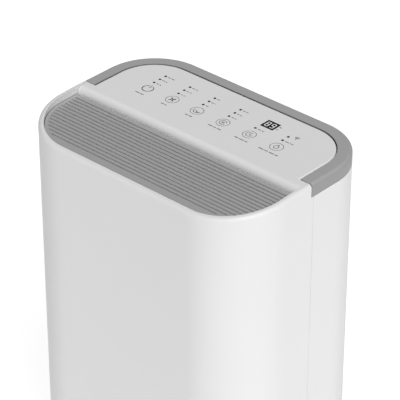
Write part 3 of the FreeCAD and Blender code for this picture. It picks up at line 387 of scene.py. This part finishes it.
# %% Finish a mesh
def finish_piece(name, bm, material, body, smooth=False):
    bmesh.ops.remove_doubles(bm, verts=bm.verts, dist=1e-7)
    bmesh.ops.recalc_face_normals(bm, faces=bm.faces)
    mesh = bpy.data.meshes.new(name)
    bm.to_mesh(mesh)
    bm.free()
    mesh.materials.append(material)
    if smooth:
        mesh.shade_smooth()
    piece = bpy.data.objects.new(name, mesh)
    scene.collection.objects.link(piece)
    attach(piece, body)
    print(name, len(mesh.polygons), "faces")
    return piece


# %% [markdown]
# ## Signs on the control deck
# The deck has six touch fields. Each has a thin printed ring with a sign in it, a short label
# below, and up to three lights with a label each. The print stands a twentieth of a millimetre
# proud, like a thick ink. Rings are a small section spun round, and strokes are flat bars. The
# labels are plain dashes, so nothing can be read on them.

# %% Sizes of the print
DECK_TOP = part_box("control_deck")[1].z
INK = 0.05 * MM
BUTTON_X = [v * MM for v in (-105.0, -66.0, -27.0, 13.0, 53.0, 93.5)]
BUTTON_Y = 37.0 * MM
RING_RADIUS = 8.0 * MM
STROKE = 0.7 * MM
LIGHT_SHIFT = -4.5 * MM
LIGHT_Y = 52.5 * MM
LIGHT_PITCH = 10.0 * MM
LIGHTS = (3, 3, 3, 3, 1, 2)


def arc(bm, centre, radius, width, start=0.0, sweep=360.0):
    """A printed arc: the ink's section spun about the centre."""
    x, y = centre
    turn = Matrix.Rotation(math.radians(start), 3, "Z")
    corners = [(-width / 2, 0), (width / 2, 0), (width / 2, INK), (-width / 2, INK)]
    pivot = Vector((x, y, DECK_TOP))
    section = [bm.verts.new(pivot + turn @ Vector((radius + dx, 0, dz))) for dx, dz in corners]
    face = bm.faces.new(section)
    whole = sweep >= 360
    steps = max(8, int(48 * sweep / 360))
    bmesh.ops.spin(bm, geom=[face, *face.edges, *section], cent=pivot, axis=(0, 0, 1),
                   angle=math.radians(sweep), steps=steps, use_merge=whole, use_duplicate=False)
    if whole:
        bmesh.ops.delete(bm, geom=[face], context="FACES_ONLY")


def bar(bm, start, end, width):
    """A printed stroke with rounded corners from start to end."""
    a, b = Vector((*start, 0)), Vector((*end, 0))
    along = b - a
    made = bmesh.ops.create_cube(bm, size=1.0)["verts"]
    place = Matrix.Translation((a + b) / 2 + Vector((0, 0, DECK_TOP + INK / 2)))
    turn = Matrix.Rotation(math.atan2(along.y, along.x), 4, "Z")
    size = Matrix.Diagonal((along.length + width, width, INK, 1))
    bmesh.ops.transform(bm, matrix=place @ turn @ size, verts=made)
    uprights = {e for v in made for e in v.link_edges if abs(e.verts[0].co.z - e.verts[1].co.z) > INK / 2}
    bmesh.ops.bevel(bm, geom=list(uprights), offset=width * 0.4, affect="EDGES", segments=2,
                    profile=0.5, material=-1)


# %% [markdown]
# The six signs are plain pictures: an open ring with a stroke for power, a four bladed fan, a
# moon over a line, a dial for the wanted humidity, a clock and a drop.

# %% The six signs
def power_sign(bm, x, y):
    opening = 48
    low_end, high_end = 2.2 * MM, 8.2 * MM
    arc(bm, (x, y), RING_RADIUS * 0.86, STROKE * 1.9, start=90 + opening / 2, sweep=360 - opening)
    bar(bm, (x, y + low_end), (x, y + high_end), STROKE * 1.7)


def fan_sign(bm, x, y):
    arc(bm, (x, y), RING_RADIUS, STROKE)
    for i in range(4):
        turn = math.radians(45 + 90 * i)
        near, far = 1.5 * MM, 3.6 * MM
        bar(bm, (x + near * math.cos(turn), y + near * math.sin(turn)),
            (x + far * math.cos(turn), y + far * math.sin(turn)), STROKE * 2.8)


def moon_sign(bm, x, y):
    arc(bm, (x, y), RING_RADIUS, STROKE)
    arc(bm, (x, y), 4.4 * MM, STROKE * 1.3, start=150, sweep=200)
    arc(bm, (x + 2.2 * MM, y + 1.0 * MM), 3.2 * MM, STROKE * 1.3, start=170, sweep=160)
    bar(bm, (x + 0.6 * MM, y - 2.4 * MM), (x + 3.6 * MM, y - 2.4 * MM), STROKE * 1.2)


def target_sign(bm, x, y):
    arc(bm, (x, y), RING_RADIUS, STROKE)
    arc(bm, (x, y), 4.3 * MM, STROKE * 1.3, start=20, sweep=320)
    arc(bm, (x, y), 1.3 * MM, STROKE * 1.5)


def clock_sign(bm, x, y):
    arc(bm, (x, y), RING_RADIUS, STROKE)
    arc(bm, (x, y), 4.2 * MM, STROKE * 1.2, start=60, sweep=300)
    bar(bm, (x, y), (x, y + 2.8 * MM), STROKE * 1.2)
    bar(bm, (x, y), (x + 2.4 * MM, y - 0.8 * MM), STROKE * 1.2)


def drop_sign(bm, x, y):
    arc(bm, (x, y), RING_RADIUS, STROKE)
    arc(bm, (x, y - 1.0 * MM), 2.9 * MM, STROKE * 1.3, start=150, sweep=240)
    for side in (-1, 1):
        bar(bm, (x + side * 2.5 * MM, y + 0.5 * MM), (x, y + 4.4 * MM), STROKE * 1.3)


signs = bmesh.new()
for draw, x in zip((power_sign, fan_sign, moon_sign, target_sign, clock_sign, drop_sign), BUTTON_X):
    draw(signs, x, BUTTON_Y)
finish_piece("deck_signs", signs, print_ink, "housing")

# %% [markdown]
# Labels: a row of dashes of uneven length stands for each word.

# %% Labels
LABEL_WIDTH = 1.5 * MM
LABEL_SPACE = 1.0
UNIT_X = 68.6 * MM       # two unit marks beside the display window
UNIT_Y = 66.0 * MM
UNIT_PITCH = 6.0 * MM
UNIT_LENGTH = 1.6


def dashes(bm, x, y, lengths, width=LABEL_WIDTH):
    for length in lengths:
        bar(bm, (x, y), (x + length * MM, y), width)
        x += length * MM + width + LABEL_SPACE * MM


labels = bmesh.new()
BUTTON_LABELS = ((5.0, 4.0), (3.5, 2.0), (3.0, 3.5), (5.0, 3.0, 5.0), (4.0, 6.0, 3.0), (6.0, 4.0, 6.5, 3.0))
LIGHT_LABELS = (((2.5, 1.5), (3.0, 2.0), (3.5, 3.5)), ((2.0, 1.5), (3.0, 1.5), (2.5, 2.5)),
                ((3.5,), (3.0, 1.0), (3.5,)), ((2.5, 1.5), (2.0, 2.0), (3.0, 2.0)),
                ((3.5, 2.5),), ((5.0, 4.0),))
for x, lengths in zip(BUTTON_X, BUTTON_LABELS):
    whole = sum(lengths) + (LABEL_WIDTH / MM + LABEL_SPACE) * (len(lengths) - 1)
    dashes(labels, x - whole / 2 * MM, BUTTON_Y - 14.5 * MM, lengths)
for x, rows in zip(BUTTON_X, LIGHT_LABELS):
    for i, lengths in enumerate(rows):
        dashes(labels, x + LIGHT_SHIFT + 4.2 * MM, LIGHT_Y + LIGHT_PITCH * i, lengths, LABEL_WIDTH * 0.85)
for i in range(2):
    dashes(labels, UNIT_X, UNIT_Y + UNIT_PITCH * i, (UNIT_LENGTH,))
finish_piece("deck_labels", labels, label_ink, "housing")

# %% [markdown]
# Each light has a dark printed surround, so that an unlit one is still seen. The rings leave the
# clear middle of the drawn lens free.

# %% Light surrounds
LENS_RADIUS = 1.3 * MM
SURROUND = 0.8 * MM
surrounds = bmesh.new()
for x, count in zip(BUTTON_X, LIGHTS):
    for i in range(count):
        arc(surrounds, (x + LIGHT_SHIFT, LIGHT_Y + LIGHT_PITCH * i), LENS_RADIUS, SURROUND)
finish_piece("light_surrounds", surrounds, dark_ink, "housing")

# %% [markdown]
# The network sign beside the last light: three arcs over a dot.

# %% Network sign
waves = bmesh.new()
WAVE_AT = (98.5 * MM, 64.0 * MM)
for i in range(3):
    arc(waves, WAVE_AT, (1.2 + 1.7 * i) * MM, STROKE * 1.3, start=45, sweep=90)
arc(waves, WAVE_AT, 0.35 * MM, 0.6 * MM)
finish_piece("network_sign", waves, print_ink, "housing")

# %% [markdown]
# ## Lit figures
# The window shows two figures, as the humidity in per cent. Each is seven bars: the ones that
# are on for an 8 and a 9 are listed by their place round the figure. The bars lie on the
# window's face by the thickness of the ink, because the window's black back hides what is below.

# %% Figures
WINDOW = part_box("display_window")
FIGURE_WIDTH = 4.2 * MM
FIGURE_HEIGHT = 9.0 * MM
FIGURE_STROKE = 0.85 * MM
FIGURE_GAP = 3.4 * MM
BARS = {"top": ((0, 1), (1, 1)), "middle": ((0, 0), (1, 0)), "bottom": ((0, -1), (1, -1)),
        "upper_left": ((0, 0), (0, 1)), "upper_right": ((1, 0), (1, 1)),
        "lower_left": ((0, -1), (0, 0)), "lower_right": ((1, -1), (1, 0))}
middle = (WINDOW[0] + WINDOW[1]) / 2
figures = bmesh.new()
for shift, off in ((-1, ()), (1, ("lower_left",))):
    x0 = middle.x + shift * (FIGURE_WIDTH + FIGURE_GAP) / 2 - FIGURE_WIDTH / 2
    for name, ends in BARS.items():
        if name in off:
            continue
        (ax, ay), (bx, by) = ends
        a = Vector((x0 + ax * FIGURE_WIDTH, middle.y + ay * FIGURE_HEIGHT / 2))
        b = Vector((x0 + bx * FIGURE_WIDTH, middle.y + by * FIGURE_HEIGHT / 2))
        inward = (b - a).normalized() * FIGURE_STROKE * 0.6
        bar(figures, a + inward, b - inward, FIGURE_STROKE)
finish_piece("display_figures", figures, led_white, "housing")

# %% [markdown]
# ## Dust filter net
# The filter is a woven net, stretched in its frame. A grid whose edges become thin threads has
# the look of one. The real mesh is about half a millimetre, drawn here at 2.5 mm so that the
# threads can be told apart and the piece stays light.

# %% Filter net
NET_PITCH = 2.5 * MM
THREAD = 0.45 * MM
net_low, net_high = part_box("filter_mesh")
net = bmesh.new()
width, height = net_high.x - net_low.x, net_high.z - net_low.z
columns, rows = round(width / NET_PITCH), round(height / NET_PITCH)
bmesh.ops.create_grid(net, x_segments=columns, y_segments=rows, size=0.5)
flat = Matrix.Translation((net_low + net_high) / 2) @ Matrix.Rotation(math.radians(90), 4, "X")
bmesh.ops.transform(net, matrix=flat @ Matrix.Diagonal((width, height, 1, 1)), verts=net.verts)
bmesh.ops.wireframe(net, faces=net.faces[:], thickness=THREAD, offset=0.0, use_boundary=True,
                    use_even_offset=True, use_replace=True)
net_piece = finish_piece("filter_net", net, net_nylon, "grille")
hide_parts("filter_mesh")

# %% [markdown]
# ## Fin packs
# Each coil is a pack of thin aluminium fins on copper tubes. One fin is a thin plate, and the
# pack repeats it. Two millimetres between fins is the real pitch.

# %% Fin packs
FIN_PITCH = 2.0 * MM
FIN = 0.2 * MM
TUBE = 4.0 * MM
TUBE_ROWS = 5
TUBE_SHIFT = 10 * MM     # each row has one tube this far above its middle and one below
for coil in ("evaporator", "condenser"):
    lo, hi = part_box(coil)
    pack = bmesh.new()
    count = int((hi.x - lo.x - FIN) / FIN_PITCH)
    spread = (hi.x - lo.x - FIN) / count
    for i in range(count + 1):
        fin = bmesh.ops.create_cube(pack, size=1.0)["verts"]
        centre = Vector((lo.x + FIN / 2 + spread * i, (lo.y + hi.y) / 2, (lo.z + hi.z) / 2))
        size = Matrix.Diagonal((FIN, hi.y - lo.y, hi.z - lo.z, 1))
        bmesh.ops.transform(pack, matrix=Matrix.Translation(centre) @ size, verts=fin)
    fins = finish_piece(coil + "_fins", pack, fin_stock, "housing")
    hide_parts(coil)
    tubes = bmesh.new()
    pitch = (hi.z - lo.z) / TUBE_ROWS
    for i in range(TUBE_ROWS):
        for offset in (-TUBE_SHIFT, TUBE_SHIFT):
            at = Vector(((lo.x + hi.x) / 2, (lo.y + hi.y) / 2, lo.z + pitch * (i + 0.5) + offset))
            lie = Matrix.Translation(at) @ Matrix.Rotation(math.radians(90), 4, "Y")
            bmesh.ops.create_cone(tubes, cap_ends=True, segments=16, radius1=TUBE, radius2=TUBE,
                                  depth=hi.x - lo.x, matrix=lie)
    finish_piece(coil + "_tubes", tubes, copper, "housing", smooth=True)

# %% [markdown]
# ## Floor
# A plain pale sweep. It glows a little, as an overlit studio floor does, so it stays white round
# the object and its shadow stays faint.

# %% Floor
FLOOR_SIZE = 12.0
FLOOR_GLOW = 0.84
FLOOR_CLOUD = 0.8    # patterns per metre, far broader than the object
floor_mesh = bmesh.new()
bmesh.ops.create_grid(floor_mesh, x_segments=1, y_segments=1, size=FLOOR_SIZE / 2)
mesh = bpy.data.meshes.new("floor")
floor_mesh.to_mesh(mesh)
floor_mesh.free()
floor_paint, bsdf = new_material("white studio floor", "#8C8C8C", 0.9)
place = add(floor_paint, "ShaderNodeTexCoord").outputs["Object"]
cloud = add(floor_paint, "ShaderNodeTexNoise", {"Scale": FLOOR_CLOUD}, Vector=place)
glow = add(floor_paint, "ShaderNodeMapRange", {"To Min": FLOOR_GLOW, "To Max": FLOOR_GLOW * 1.05},
           Value=cloud.outputs["Fac"])
bsdf.inputs["Emission Color"].default_value = (1, 1, 1, 1)
floor_paint.node_tree.links.new(glow.outputs["Result"], bsdf.inputs["Emission Strength"])
mesh.materials.append(floor_paint)
floor = bpy.data.objects.new("floor", mesh)
scene.collection.objects.link(floor)
print("floor laid")
